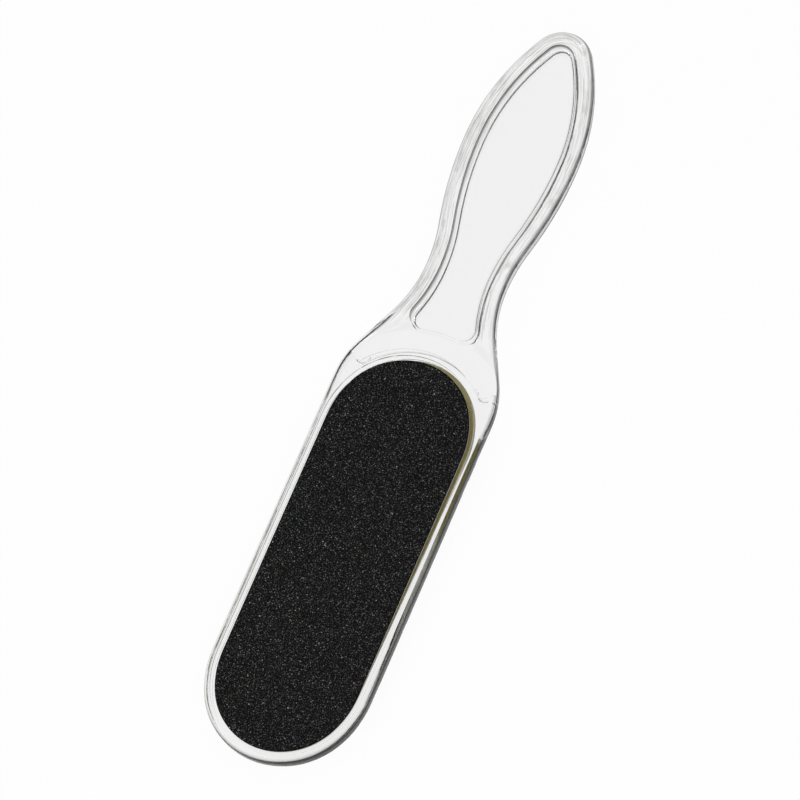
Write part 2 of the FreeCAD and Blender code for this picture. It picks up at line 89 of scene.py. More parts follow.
back = np.array([EYE_ACROSS, EYE_ALONG, math.sqrt(1 - EYE_ACROSS ** 2 - EYE_ALONG ** 2)])
level_right = np.cross([0.0, 0.0, 1.0], back)
level_right = level_right / np.linalg.norm(level_right)
level_up = np.cross(back, level_right)
right = math.cos(EYE_ROLL) * level_right + math.sin(EYE_ROLL) * level_up
up = np.cross(back, right)
middle = np.array(cad_low + cad_high) / 2
aim = middle - right * (MIDDLE_PIXEL[0] - FRAME_PIXELS / 2) / PIXELS_PER_METRE
aim = aim - up * (FRAME_PIXELS / 2 - MIDDLE_PIXEL[1]) / PIXELS_PER_METRE
eye = aim + back * EYE_DISTANCE

lens = bpy.data.cameras.new("camera")
lens.sensor_width = 36.0
lens.lens = PIXELS_PER_METRE * EYE_DISTANCE * lens.sensor_width / FRAME_PIXELS
lens.clip_start = 0.05
lens.clip_end = 20.0
camera = bpy.data.objects.new("camera", lens)
scene.collection.objects.link(camera)
turn = np.eye(4)
turn[:3, 0] = right
turn[:3, 1] = up
turn[:3, 2] = back
turn[:3, 3] = eye
camera.matrix_world = Matrix(turn.tolist())
scene.camera = camera
print("camera at", np.round(eye, 3), "lens", round(lens.lens, 1), "mm")

# %% [markdown]
# ## A small kit for meshes and materials
#
# Every new piece here is a grid of points worked out with numpy, so one helper
# turns arrays of points and faces into a mesh object.  Blender's own operators
# could build the pieces too, but they work on one shape at a time and hide the
# formula.  The other helpers start a node material and add nodes to it.


# %% Mesh helpers
def make_piece(name, points, faces, smooth):
    """Puts an array of points and an array of faces of equal length into a mesh object."""
    mesh = bpy.data.meshes.new(name)
    corners = faces.shape[1]
    mesh.vertices.add(len(points))
    mesh.vertices.foreach_set("co", np.asarray(points, np.float32).ravel())
    mesh.loops.add(faces.size)
    mesh.loops.foreach_set("vertex_index", faces.astype(np.int32).ravel())
    mesh.polygons.add(len(faces))
    mesh.polygons.foreach_set("loop_start", np.arange(0, faces.size, corners, dtype=np.int32))
    mesh.polygons.foreach_set("use_smooth", np.full(len(faces), smooth))
    mesh.update(calc_edges=True)
    mesh.validate()
    piece = bpy.data.objects.new(name, mesh)
    scene.collection.objects.link(piece)
    return piece


def wear(piece, material):
    """Gives a piece one material."""
    piece.data.materials.clear()
    piece.data.materials.append(material)


print("mesh helpers ready")


# %% Material helpers
def new_material(name):
    """Starts a node material and gives back the material, its node tree and its Principled shader."""
    material = bpy.data.materials.new(name)
    material.use_nodes = True
    tree = material.node_tree
    return material, tree, tree.nodes["Principled BSDF"]


def add_node(tree, kind, **settings):
    """Adds a node and sets its properties, or its inputs where the name is an input's."""
    node = tree.nodes.new(kind)
    for name, value in settings.items():
        if hasattr(node, name):
            setattr(node, name, value)
        else:
            node.inputs[name].default_value = value
    return node


def feed(tree, node, values):
    """Links a socket to, or sets a number on, each of a node's first inputs; gives its output."""
    for socket, value in zip(node.inputs, values):
        if isinstance(value, bpy.types.NodeSocket):
            tree.links.new(value, socket)
        else:
            socket.default_value = value
    return node.outputs[0]


def reckon(tree, operation, first, second=0.0):
    """A Math node: each operand is an output socket or a number."""
    return feed(tree, add_node(tree, "ShaderNodeMath", operation=operation), (first, second))


def carry(tree, value, low, high, first, last):
    """Carries a value from the range low to high onto first to last, and holds it past the ends."""
    return feed(tree, add_node(tree, "ShaderNodeMapRange"), (value, low, high, first, last))


def tint_ramp(tree, share, stops):
    """A colour ramp: stops of a position and a colour, read at a share."""
    node = add_node(tree, "ShaderNodeValToRGB")
    elements = node.color_ramp.elements
    for element, (position, colour) in zip(elements, (stops[0], stops[-1])):
        element.position = position
        element.color = colour
    for position, colour in stops[1:-1]:
        elements.new(position).color = colour
    return feed(tree, node, (share,))


def blend(tree, share, first, second):
    """Blends two shaders: only the first at a share of zero, only the second at one."""
    node = add_node(tree, "ShaderNodeMixShader")
    return feed(tree, node, (share, first.outputs[0], second.outputs[0]))


def grey(tone):
    """A grey colour of one tone."""
    return (tone, tone, tone, 1.0)


print("material helpers ready")

# %% [markdown]
# ## A fine mottle
#
# Paper, resin, glue and scuffed plastic are all uneven on a fine scale.  Each
# material could have a noise of its own, but it is one effect, so a node group
# holds it once: a noise that blends a dark and a light colour.  Each material
# places the group on its object coordinates, with its own scale and colours.


# %% Node group of the mottle
def mottle_group():
    """A noise at a place: its share, and the blend of a dark and a light colour by that share."""
    group = bpy.data.node_groups.new("fine_mottle", "ShaderNodeTree")
    sockets = {"Place": "Vector", "Scale": "Float", "Detail": "Float",
               "Dark": "Color", "Light": "Color"}
    for name, kind in sockets.items():
        group.interface.new_socket(name=name, in_out="INPUT", socket_type="NodeSocket" + kind)
    for name, kind in {"Colour": "Color", "Share": "Float"}.items():
        group.interface.new_socket(name=name, in_out="OUTPUT", socket_type="NodeSocket" + kind)
    given = add_node(group, "NodeGroupInput")
    result = add_node(group, "NodeGroupOutput")
    noise = add_node(group, "ShaderNodeTexNoise")
    colour = add_node(group, "ShaderNodeMix", data_type="RGBA")
    group.links.new(given.outputs["Place"], noise.inputs["Vector"])
    group.links.new(given.outputs["Scale"], noise.inputs["Scale"])
    group.links.new(given.outputs["Detail"], noise.inputs["Detail"])
    group.links.new(noise.outputs["Fac"], colour.inputs["Factor"])
    group.links.new(given.outputs["Dark"], colour.inputs["A"])
    group.links.new(given.outputs["Light"], colour.inputs["B"])
    group.links.new(colour.outputs["Result"], result.inputs["Colour"])
    group.links.new(noise.outputs["Fac"], result.inputs["Share"])
    return group


fine_mottle = mottle_group()


def mottle(tree, scale, detail, dark=grey(0.0), light=grey(1.0)):
    """Places the mottle in a material, on object coordinates."""
    node = add_node(tree, "ShaderNodeGroup", node_tree=fine_mottle, Scale=scale, Detail=detail,
                    Dark=dark, Light=light)
    place = add_node(tree, "ShaderNodeTexCoord")
    tree.links.new(place.outputs["Object"], node.inputs["Place"])
    return node


print("mottle group with", len(fine_mottle.nodes), "nodes")

# %% [markdown]
# ## The studio floor
#
# Clear plastic has no colour of its own: it shows what stands round it.  The
# photograph shows it on plain white.  Lamps strong enough to make a floor white
# would bleach the pads too, so the floor is white by itself to the camera and
# to rays that the plastic mirrors or bends.  It keeps a small part of its plain
# shading, so a soft shadow stays.


# %% White floor that keeps a shadow
def disc(radius, height, rings, spokes):
    """A flat round sheet: a share of the radius times the cosine and sine of each point's angle."""
    share = np.linspace(0.0, 1.0, rings + 1)[1:, None]
    angle = np.linspace(0.0, 2 * np.pi, spokes, endpoint=False)[None, :]
    grid = np.stack([radius * share * np.cos(angle), radius * share * np.sin(angle),
                     np.full((rings, spokes), height)], axis=-1).reshape(-1, 3)
    points = np.vstack([grid, [[0.0, 0.0, height]]])
    ring, spoke = np.meshgrid(np.arange(rings - 1), np.arange(spokes), indexing="ij")
    after = (spoke + 1) % spokes
    quads = np.stack([ring * spokes + spoke, (ring + 1) * spokes + spoke,
                      (ring + 1) * spokes + after, ring * spokes + after], axis=-1).reshape(-1, 4)
    here = np.arange(spokes)
    fan = np.stack([np.full(spokes, len(grid)), here, (here + 1) % spokes], axis=-1)
    return points, np.vstack([quads[:, [0, 1, 2]], quads[:, [0, 2, 3]], fan])


def shown(tree):
    """One for rays from the camera and for those that are mirrored or bent, else nothing."""
    rays = add_node(tree, "ShaderNodeLightPath").outputs
    direct = reckon(tree, "MAXIMUM", rays["Is Camera Ray"], rays["Is Glossy Ray"])
    return reckon(tree, "MAXIMUM", direct, rays["Is Transmission Ray"])


FLOOR_RADIUS = 1.6
FLOOR_DROP = 0.0002
FLOOR_WHITE = 0.94
points, triangles = disc(FLOOR_RADIUS, -FLOOR_DROP, rings=6, spokes=96)
floor = make_piece("floor", points, triangles, False)
floor_paint, tree, shader = new_material("floor_paint")
shader.inputs["Base Color"].default_value = grey(0.9)
shader.inputs["Roughness"].default_value = 0.9
shader.inputs["Specular IOR Level"].default_value = 0.0
white = add_node(tree, "ShaderNodeEmission", Color=grey(1.0), Strength=1.0)
share = reckon(tree, "MULTIPLY", shown(tree), FLOOR_WHITE)
tree.links.new(blend(tree, share, shader, white), tree.nodes["Material Output"].inputs["Surface"])
wear(floor, floor_paint)
print("floor", len(triangles), "triangles")

# %% [markdown]
# ## Black cards
#
# On white alone, clear plastic all but vanishes.  A photographer holds black
# cards round it, just outside the picture, and its rolled edges pick them up,
# which deepens their lines a little.  Single cards would serve one view, so this
# is a whole ring.  It hangs above the table, because low views through the
# plastic should still end on white.


# %% Ring of black cards above the table
def band(radius, low, high, spokes):
    """A standing ring: the cosine and sine of the angle times the radius, at a low and a high level."""
    angle = np.linspace(0.0, 2 * np.pi, spokes, endpoint=False)
    ring = np.stack([radius * np.cos(angle), radius * np.sin(angle)], axis=-1)
    points = np.vstack([np.column_stack([ring, np.full(spokes, low)]),
                        np.column_stack([ring, np.full(spokes, high)])])
    here = np.arange(spokes)
    after = (here + 1) % spokes
    return points, np.stack([here, here + spokes, after + spokes, after], axis=-1)


points, quads = band(radius=0.62, low=0.22, high=0.62, spokes=96)
cards = make_piece("cards", points, quads, False)
card_paint, tree, shader = new_material("card_paint")
shader.inputs["Base Color"].default_value = grey(0.06)
shader.inputs["Roughness"].default_value = 0.95
wear(cards, card_paint)
cards.visible_camera = False
cards.visible_diffuse = False
cards.visible_shadow = False
print("cards", len(quads), "faces")

# %% [markdown]
# ## Lamps and room
#
# The photograph has soft light without a hard shadow, as two large soft boxes
# give.  A sun lamp would draw one sharp shadow, so square area lamps stand in
# for them.  The room is white where it is seen and gives the pads less light
# than that, or their black would turn grey.


# %% Lamps and the white room
def soft_lamp(name, place, size, watts):
    """A square area lamp that looks at the middle of the table."""
    data = bpy.data.lights.new(name, "AREA")
    data.shape = "SQUARE"
    data.size = size
    data.energy = watts
    lamp = bpy.data.objects.new(name, data)
    scene.collection.objects.link(lamp)
    lamp.location = place
    lamp.rotation_mode = "QUATERNION"
    lamp.rotation_quaternion = Vector(place).to_track_quat("Z", "Y")


soft_lamp("key_lamp", place=(-0.9, -0.5, 1.0), size=0.7, watts=7.0)
soft_lamp("fill_lamp", place=(0.9, -0.3, 1.0), size=0.6, watts=3.0)

ROOM_LIGHT = 0.55
world = bpy.data.worlds.new("white_room")
scene.world = world
world.use_nodes = True
tree = world.node_tree
tree.nodes.clear()
lit = add_node(tree, "ShaderNodeBackground", Color=grey(1.0), Strength=ROOM_LIGHT)
plain = add_node(tree, "ShaderNodeBackground", Color=grey(1.0), Strength=1.0)
room = add_node(tree, "ShaderNodeOutputWorld")
tree.links.new(blend(tree, shown(tree), lit, plain), room.inputs["Surface"])
print("lamps", [light.name for light in bpy.data.lights])

# %% [markdown]
# ## Clear plastic
#
# The paddle is clear styrene: hard, glossy and a little grey where white shows
# through it.  A glass shader alone would do for a perfect piece, but use leaves
# fine scuffs that change the gloss, so this is one Principled shader with full
# transmission and a roughness that varies.  Lamps would stop at such a surface,
# so rays that look for a lamp pass straight through it.

# %% Clear plastic material
PLASTIC_IOR = 1.57
SCUFF_SHARES = (0.4, 0.75)
SCUFF_ROUGHNESS = (0.01, 0.05)
clear_plastic, plastic_tree, plastic_shader = new_material("clear_plastic")
plastic_shader.inputs["Transmission Weight"].default_value = 1.0
plastic_shader.inputs["IOR"].default_value = PLASTIC_IOR
scuffs = mottle(plastic_tree, scale=260.0, detail=5.0)
gloss = carry(plastic_tree, scuffs.outputs["Share"], *SCUFF_SHARES, *SCUFF_ROUGHNESS)
plastic_tree.links.new(gloss, plastic_shader.inputs["Roughness"])
rays = add_node(plastic_tree, "ShaderNodeLightPath").outputs
through = add_node(plastic_tree, "ShaderNodeBsdfTransparent", Color=grey(0.9))
surface = blend(plastic_tree, rays["Is Shadow Ray"], plastic_shader, through)
plastic_tree.links.new(surface, plastic_tree.nodes["Material Output"].inputs["Surface"])
print("clear plastic with", len(plastic_tree.nodes), "nodes so far")

# %% [markdown]
# ## The paddle
#
# A clear part shows every flaw in its normals, because each ray is bent twice
# on its way through.  The CAD mesh has flat facets, and normals averaged from
# them wobble along the rolled edge.  Smoothing by angle would not cure that.
# The shapes are known, though: every wall, roll, cove and ramp is an arc or a
# level, so the true normal of each corner can be worked out.  The piece is a
# merged copy of the CAD mesh, and only its normals are new.

# %% Sizes of the paddle in millimetres
MM = 0.001
HEAD_HALF = 26.535
HEAD_STRETCH = 2.18
TIP_SHARE = 0.307
SHOULDER_Y = 122.42
SHOULDER_RADIUS = 30.0
SHOULDER_TO_NECK = 42.7
TAPER_SHARE = 0.58
NECK_HALF = 13.45
NECK_RADIUS = 54.3
NECK_TO_WIDEST = 43.03
HANDLE_HALF = 18.95
WIDEST_TO_TIP = 41.85
HANDLE_TIP = 10.1
RIM_WIDTH = 5.0
RIM_LEVEL = 3.2
EDGE_RADIUS = 2.6
WEB_LEVEL = 1.6
COVE_RADIUS = 2.0
CORNER_RADIUS = 5.2
HOLLOW_LEVEL = 1.9
HOLLOW_GAP = 3.7
HOLLOW_TO_RECESS = 5.65
HOLLOW_FLOOR = 5.9
HOLLOW_RAMP = 7.0
HOLLOW_SPREAD = math.radians(52.0)
HOLLOW_CORNER = 2.5
PAD_MARGIN = 3.67
PAD_LENGTH = 130.6
POCKET_CLEARANCE = 1.5

NECK_Y = SHOULDER_Y + SHOULDER_TO_NECK
WIDEST_Y = NECK_Y + NECK_TO_WIDEST
LENGTH = WIDEST_Y + WIDEST_TO_TIP
PAD_TIP = HEAD_HALF - PAD_MARGIN - HEAD_STRETCH * TIP_SHARE
PAD_END = np.array([0.0, PAD_MARGIN + PAD_LENGTH - PAD_TIP])
HOLLOW_RADIUS = PAD_TIP + HOLLOW_GAP
FLOOR_END = HOLLOW_RADIUS + HOLLOW_FLOOR
RAMP_END = FLOOR_END + HOLLOW_RAMP
SWING = (HOLLOW_RAMP ** 2 + (RIM_LEVEL - HOLLOW_LEVEL) ** 2) / (4 * (RIM_LEVEL - HOLLOW_LEVEL))
print("paddle", LENGTH, "mm long, ramp bends of", round(SWING, 3), "mm")

# %% [markdown]
# ## Loops of arcs
#
# The outline, the handle's recess, the pad's pocket and the hollow are each
# bounded by a loop of arcs that run into one another.  A list of points along
# each loop would do, but a row of middle, radius and two angles for each arc is
# exact, and the way to it is a short formula.  A straight run is an arc of a
# very large radius.


# %% Rows of arcs
def straight(start, end):
    """A straight run as an arc of a kilometre's radius whose middle lies on the run's left."""
    radius = 1e6
    run = np.subtract(end, start)
    long = np.hypot(run[0], run[1])
    left = np.array([-run[1], run[0]]) / long
    middle = np.add(start, end) / 2 + left * radius
    angle = math.atan2(-left[1], -left[0])
    return (middle[0], middle[1], radius, angle - long / radius / 2, angle + long / radius / 2, 1.0)


def both_sides(right_arcs):
    """Arcs of the right side with their mirror images: rows of middle, radius, two angles and bend."""
    rows = np.array(right_arcs)
    other = rows.copy()
    other[:, 0] = -rows[:, 0]
    other[:, 3] = np.pi - rows[:, 4]
    other[:, 4] = np.pi - rows[:, 3]
    return np.vstack([rows, other])


def oval_arcs(half, low, high):
    """Right side of an oval between two ends: tip and flank arcs at each end and a straight side."""
    end = half + HEAD_STRETCH
    tip = half - HEAD_STRETCH * TIP_SHARE
    flank = end + HEAD_STRETCH / (2 * TIP_SHARE)
    turn = math.atan2(end - tip, flank - half)
    return [
        (0.0, low + tip, tip, -np.pi / 2, -turn, 1.0),
        (half - flank, low + end, flank, -turn, 0.0, 1.0),
        straight((half, low + end), (half, high - end)),
        (half - flank, high - end, flank, 0.0, turn, 1.0),
        (0.0, high - tip, tip, turn, np.pi / 2, 1.0),
    ]


pocket = both_sides(oval_arcs(HEAD_HALF - PAD_MARGIN + POCKET_CLEARANCE, PAD_MARGIN - POCKET_CLEARANCE,
                              PAD_MARGIN + PAD_LENGTH + POCKET_CLEARANCE))
print("pocket", len(pocket), "arcs")

# %% Arcs of the handle and the outline
TAPER = math.atan((HEAD_HALF - NECK_HALF) / SHOULDER_TO_NECK) * (1 + TAPER_SHARE)
NAPE_RADIUS = ((SHOULDER_TO_NECK * math.sin(TAPER) - (HEAD_HALF - NECK_HALF) * math.cos(TAPER))
               / (1 - math.cos(TAPER)) - SHOULDER_RADIUS)
SWELL = HANDLE_HALF - NECK_HALF
BELLY_SUM = (SWELL ** 2 + NECK_TO_WIDEST ** 2) / (2 * SWELL)
BELLY_TURN = math.asin(NECK_TO_WIDEST / BELLY_SUM)
BROW_RADIUS = ((HANDLE_HALF ** 2 + WIDEST_TO_TIP ** 2 - 2 * WIDEST_TO_TIP * HANDLE_TIP)
               / (2 * (HANDLE_HALF - HANDLE_TIP)))
BROW_TURN = math.atan2(WIDEST_TO_TIP - HANDLE_TIP, BROW_RADIUS - HANDLE_HALF)


def handle_arcs(inset, nape_turn):
    """Nape, neck, belly, brow and tip of the handle's right side, set in from the outline."""
    belly = BELLY_SUM - NECK_RADIUS
    return [
        (NECK_HALF + NAPE_RADIUS, NECK_Y, NAPE_RADIUS + inset, np.pi, np.pi + nape_turn, -1.0),
        (NECK_HALF + NECK_RADIUS, NECK_Y, NECK_RADIUS + inset, np.pi - BELLY_TURN, np.pi, -1.0),
        (HANDLE_HALF - belly, WIDEST_Y, belly - inset, -BELLY_TURN, 0.0, 1.0),
        (HANDLE_HALF - BROW_RADIUS, WIDEST_Y, BROW_RADIUS - inset, 0.0, BROW_TURN, 1.0),
        (0.0, LENGTH - HANDLE_TIP, HANDLE_TIP - inset, BROW_TURN, np.pi / 2, 1.0),
    ]


shoulder_x = HEAD_HALF - SHOULDER_RADIUS
nape_middle = np.array([NECK_HALF + NAPE_RADIUS, NECK_Y])
taper_way = np.array([math.cos(TAPER), math.sin(TAPER)])
slope_start = np.array([shoulder_x, SHOULDER_Y]) + SHOULDER_RADIUS * taper_way
slope_end = nape_middle - NAPE_RADIUS * taper_way
outline = both_sides(oval_arcs(HEAD_HALF, 0.0, LENGTH)[:2] + [
    straight((HEAD_HALF, HEAD_HALF + HEAD_STRETCH), (HEAD_HALF, SHOULDER_Y)),
    (shoulder_x, SHOULDER_Y, SHOULDER_RADIUS, 0.0, TAPER, 1.0),
    straight(slope_start, slope_end),
] + handle_arcs(0.0, TAPER))
print("outline", len(outline), "arcs")

# %% Arcs of the handle's recess and of the hollow
recess_end = HOLLOW_RADIUS + HOLLOW_TO_RECESS
apart = np.linalg.norm(nape_middle - PAD_END)
ahead = (nape_middle - PAD_END) / apart
to_pad_end = recess_end + CORNER_RADIUS
to_nape = NAPE_RADIUS + RIM_WIDTH + CORNER_RADIUS
foot = (to_pad_end ** 2 - to_nape ** 2 + apart ** 2) / (2 * apart)
aside = math.sqrt(to_pad_end ** 2 - foot ** 2)
recess_bend = PAD_END + foot * ahead + aside * np.array([-ahead[1], ahead[0]])
low_turn = math.atan2(recess_bend[1] - PAD_END[1], recess_bend[0])
side_turn = math.atan2(NECK_Y - recess_bend[1], nape_middle[0] - recess_bend[0])
recess = both_sides([
    (PAD_END[0], PAD_END[1], recess_end, low_turn, np.pi / 2, -1.0),
    (recess_bend[0], recess_bend[1], CORNER_RADIUS, low_turn - np.pi, side_turn, 1.0),
] + handle_arcs(RIM_WIDTH, side_turn))

leg_start = math.sqrt((HOLLOW_RADIUS + HOLLOW_CORNER) ** 2 - HOLLOW_CORNER ** 2)
leg_way = np.array([math.sin(HOLLOW_SPREAD), math.cos(HOLLOW_SPREAD)])
hollow_bend = leg_start * leg_way + HOLLOW_CORNER * np.array([-leg_way[1], leg_way[0]])
bend_turn = math.atan2(hollow_bend[1], hollow_bend[0])
hollow = both_sides([
    (PAD_END[0], PAD_END[1], HOLLOW_RADIUS, bend_turn, np.pi / 2, -1.0),
    (hollow_bend[0], PAD_END[1] + hollow_bend[1], HOLLOW_CORNER,
     bend_turn - np.pi, -HOLLOW_SPREAD, 1.0),
    straight(PAD_END + leg_start * leg_way, PAD_END + FLOOR_END * leg_way),
])
print("recess", len(recess), "arcs, hollow", len(hollow), "arcs")

# %% [markdown]
# ## Depth inside a loop
#
# To tell which surface a point of the mesh lies on, its depth inside each loop
# has to be known.  Blender can look up the nearest spot on a curve for one
# point after another.  With the arcs as rows of numbers, numpy compares all the
# points with all the arcs at once.


# %% Depth inside a loop and the way out of it
def into_loop(loop, spots):
    """How deep each spot lies inside a loop of arcs, and the level direction out of the loop there.

    The nearest arc has the smallest gap: the difference between its radius and the spot's distance
    from its middle, with the law of cosines added for a spot past the arc's end.  The depth is the
    radius less that distance, turned round for an arc that bends inwards.
    """
    radius, start, end, side = loop[:, 2:].T
    reach = spots[:, None, :] - loop[None, :, :2]
    far = np.linalg.norm(reach, axis=2)
    swing = np.arctan2(reach[..., 1], reach[..., 0]) - (start + end) / 2
    swing = np.abs((swing + np.pi) % (2 * np.pi) - np.pi) - np.abs(end - start) / 2
    gap = (far - radius) ** 2 + 4 * far * radius * np.sin(np.maximum(swing, 0.0) / 2) ** 2
    near = gap.argmin(axis=1)
    row = np.arange(len(spots))
    way = reach[row, near] / far[row, near][:, None]
    return side[near] * (radius[near] - far[row, near]), side[near][:, None] * way


def merged(mesh):
    """Points and triangles of a mesh with equal points made one and empty triangles left out."""
    points = np.empty(len(mesh.vertices) * 3, np.float32)
    mesh.vertices.foreach_get("co", points)
    corners = np.empty(len(mesh.loops), np.int32)
    mesh.loops.foreach_get("vertex_index", corners)
    rounded = np.round(points.reshape(-1, 3).astype(float), decimals=7)
    places, which = np.unique(rounded, axis=0, return_inverse=True)
    triangles = which.ravel()[corners].reshape(-1, 3)
    whole = (triangles[:, 0] != triangles[:, 1]) & (triangles[:, 1] != triangles[:, 2])
    return places, triangles[whole & (triangles[:, 2] != triangles[:, 0])]


places, triangles = merged(nodes["paddle"].data)
spots = places[:, :2] / MM + [0.0, LENGTH / 2]
depth, _ = into_loop(outline, spots)
print("paddle mesh", len(places), "points", len(triangles), "triangles")
print("deepest point", round(float(depth.max()), 2), "mm inside the outline")

# %% [markdown]
# ## True normals
#
# Upright and level facets are known by their own direction.  For the others, the
# surface that a facet's corners miss least, of roll, cove and ramp, gives the
# normal.  Normals could be kept for each point, but then a sharp edge would
# look round, so they are set for each corner.  The ramp's lean is eased,
# because the real one looks gentler than the CAD's.


# %% Normals of the rolled edge, the cove and the ramp
RAMP_EASE = 0.45


def curved_normals(spots, tall, half):
    """Normals of all points as if on the roll, cove or ramp, and how far they miss it.

    On the rolled edge the normal runs from the roll's axis to the point, on the cove from the point
    to the cove's axis, and on the ramp to or from the middle of one of its two bends, with its lean
    eased.
    """
    def upright(level_part, rise):
        return np.column_stack([level_part, half * rise])

    depth, out = into_loop(outline, spots)
    inward = EDGE_RADIUS - depth
    above = tall - RIM_LEVEL + EDGE_RADIUS
    roll = upright(inward[:, None] * out, above) / EDGE_RADIUS
    roll_miss = np.abs(np.hypot(inward, above) - EDGE_RADIUS)

    depth, out = into_loop(recess, spots)
    inward = COVE_RADIUS - depth
    below = WEB_LEVEL + COVE_RADIUS - tall
    cove = upright(-inward[:, None] * out, below) / COVE_RADIUS
    cove_miss = np.abs(np.hypot(inward, below) - COVE_RADIUS)

    reach = spots - PAD_END
    far = np.linalg.norm(reach, axis=1)
    away = reach / far[:, None]
    dip = np.column_stack([FLOOR_END - far, HOLLOW_LEVEL + SWING - tall])
    crest = np.column_stack([far - RAMP_END, tall - RIM_LEVEL + SWING])
    dip_miss = np.abs(np.linalg.norm(dip, axis=1) - SWING)
    crest_miss = np.abs(np.linalg.norm(crest, axis=1) - SWING)
    bend = np.where((dip_miss < crest_miss)[:, None], dip, crest)
    ramp = upright(bend[:, :1] * away * RAMP_EASE, bend[:, 1])
    ramp = ramp / np.linalg.norm(ramp, axis=1, keepdims=True)
    ramp_miss = np.minimum(dip_miss, crest_miss)
    return np.stack([roll, cove, ramp]), np.stack([roll_miss, cove_miss, ramp_miss])


print("ramp eased to", RAMP_EASE, "of its lean")


# %% Normals of upright walls and the choice for each corner
WALL_RISE = 0.02
LEVEL_RISE = 0.9999


def wall_normals(spots, triangles, flat):
    """The level way out of the loop that a triangle's corners miss least, turned to its facet's side."""
    ways = []
    misses = []
    for loop in (outline, recess, pocket, hollow):
        depth, way = into_loop(loop, spots)
        ways.append(np.column_stack([way, np.zeros(len(way))]))
        misses.append(np.abs(depth))
    nearest = np.stack(misses)[:, triangles].max(axis=2).argmin(axis=0)
    walls = np.stack(ways)[nearest[:, None], triangles]
    return walls * np.sign((walls.sum(axis=1) * flat).sum(axis=1))[:, None, None]


def true_normals(places, spots, triangles):
    """A normal for each triangle's corners, from the surface it lies on, and its facet's own."""
    sides = places[triangles]
    flat = np.cross(sides[:, 1] - sides[:, 0], sides[:, 2] - sides[:, 0])
    flat = flat / np.maximum(np.linalg.norm(flat, axis=1, keepdims=True), 1e-20)
    tall = places[:, 2] / MM - RIM_LEVEL
    slopes, misses = curved_normals(spots, np.abs(tall), np.where(tall < 0, -1.0, 1.0))
    misses = misses[:, triangles].max(axis=2)
    normals = slopes[misses.argmin(axis=0)[:, None], triangles]
    is_wall = np.abs(flat[:, 2]) < WALL_RISE
    is_level = np.abs(flat[:, 2]) > LEVEL_RISE
    normals = np.where(is_wall[:, None, None], wall_normals(spots, triangles, flat), normals)
    level = np.zeros_like(normals)
    level[..., 2] = np.sign(flat[:, 2])[:, None]
    normals = np.where(is_level[:, None, None], level, normals)
    sloped = ~is_wall & ~is_level
    print("walls", is_wall.sum(), "levels", is_level.sum(), "slopes", sloped.sum(),
          "largest miss", round(float(misses.min(axis=0)[sloped].max()), 4), "mm")
    return normals / np.linalg.norm(normals, axis=2, keepdims=True), flat


print("facets that rise under", WALL_RISE, "are walls, over", LEVEL_RISE, "levels")

# %% The paddle with its normals
normals, flat = true_normals(places, spots, triangles)
paddle = make_piece("clear_paddle", places, triangles, True)
paddle.data.normals_split_custom_set(normals.reshape(-1, 3))
wear(paddle, clear_plastic)
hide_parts("paddle")
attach(paddle, "root")
layer = paddle.data.attributes.new("rim_depth", "FLOAT", "POINT")
layer.data.foreach_set("value", depth.astype(np.float32))
layer = paddle.data.attributes.new("slope", "FLOAT", "CORNER")
layer.data.foreach_set("value", (1 - np.abs(normals[..., 2])).astype(np.float32).ravel())
lean = np.degrees(np.arccos(np.clip((normals * flat[:, None, :]).sum(axis=2), -1, 1)))
print("normals lean off their facets by at most", round(float(lean.max()), 1), "degrees")

# %% [markdown]
# ## Streaks along the rim
#
# The rolled rim of the real handle is full of fine streaks that run along it and
# break its dark edges into many thin lines.  They look like polishing marks of
# the mould.  A texture on plain coordinates would cross the rim at a slant, so
# the paddle carries its depth from the outline as an attribute, and a noise is
# stretched along the rim by it.  The streaks raise the plastic a little, and
# their thin dark lines are painted shade: a darker tint of the plastic, where
# the real streaks darken it by bending light.

# %% Streaks of the handle's rim
STREAKS_ALONG = 30.0
STREAKS_ACROSS = 10.0
STREAK_ON_LEVEL = 0.16
RIM_FADE = 0.4
HANDLE_STARTS = 0.012
HANDLE_IN_FULL = 0.03
CALM_SHARE = 0.4
CLEAR_TINT = (0.875, 0.88, 0.875, 1.0)
# Painted shade: the grey band in this ramp lays the streaks' thin dark lines into the plastic's tint.
PAINTED_STREAK_SHADES = [(0.5, CLEAR_TINT), (0.56, (0.5, 0.5, 0.49, 1.0)), (0.66, CLEAR_TINT)]
tree = plastic_tree
across = add_node(tree, "ShaderNodeAttribute", attribute_name="rim_depth").outputs["Fac"]
steep = add_node(tree, "ShaderNodeAttribute", attribute_name="slope").outputs["Fac"]
spot = add_node(tree, "ShaderNodeTexCoord").outputs["Object"]
axes = add_node(tree, "ShaderNodeSeparateXYZ")
tree.links.new(spot, axes.inputs[0])
sideways, lengthways, _ = axes.outputs
drawn_out = feed(tree, add_node(tree, "ShaderNodeCombineXYZ"),
                 (across, reckon(tree, "MULTIPLY", lengthways, STREAKS_ALONG),
                  reckon(tree, "MULTIPLY", sideways, STREAKS_ACROSS)))
streaks = feed(tree, add_node(tree, "ShaderNodeTexNoise", Scale=2.0, Detail=2.5), (drawn_out,))
on_rim = carry(tree, across, RIM_WIDTH - RIM_FADE, RIM_WIDTH, STREAK_ON_LEVEL, 0.0)
on_handle = carry(tree, lengthways, HANDLE_STARTS, HANDLE_IN_FULL, 0.0, 1.0)
rim_share = reckon(tree, "MULTIPLY", on_rim, on_handle)
raised = reckon(tree, "MULTIPLY", reckon(tree, "SUBTRACT", streaks, 0.5),
                reckon(tree, "MAXIMUM", steep, rim_share))
# Where the stretched noise falls in that band, the rim's plastic is painted darker, as shade.
painted_streak_share = reckon(tree, "MULTIPLY", reckon(tree, "SUBTRACT", streaks, CALM_SHARE), rim_share)
painted_streak_share = reckon(tree, "ADD", reckon(tree, "DIVIDE", painted_streak_share, STREAK_ON_LEVEL), CALM_SHARE)
painted_streak_shade = tint_ramp(tree, painted_streak_share, PAINTED_STREAK_SHADES)
print("streaks:", len(tree.nodes), "nodes so far")
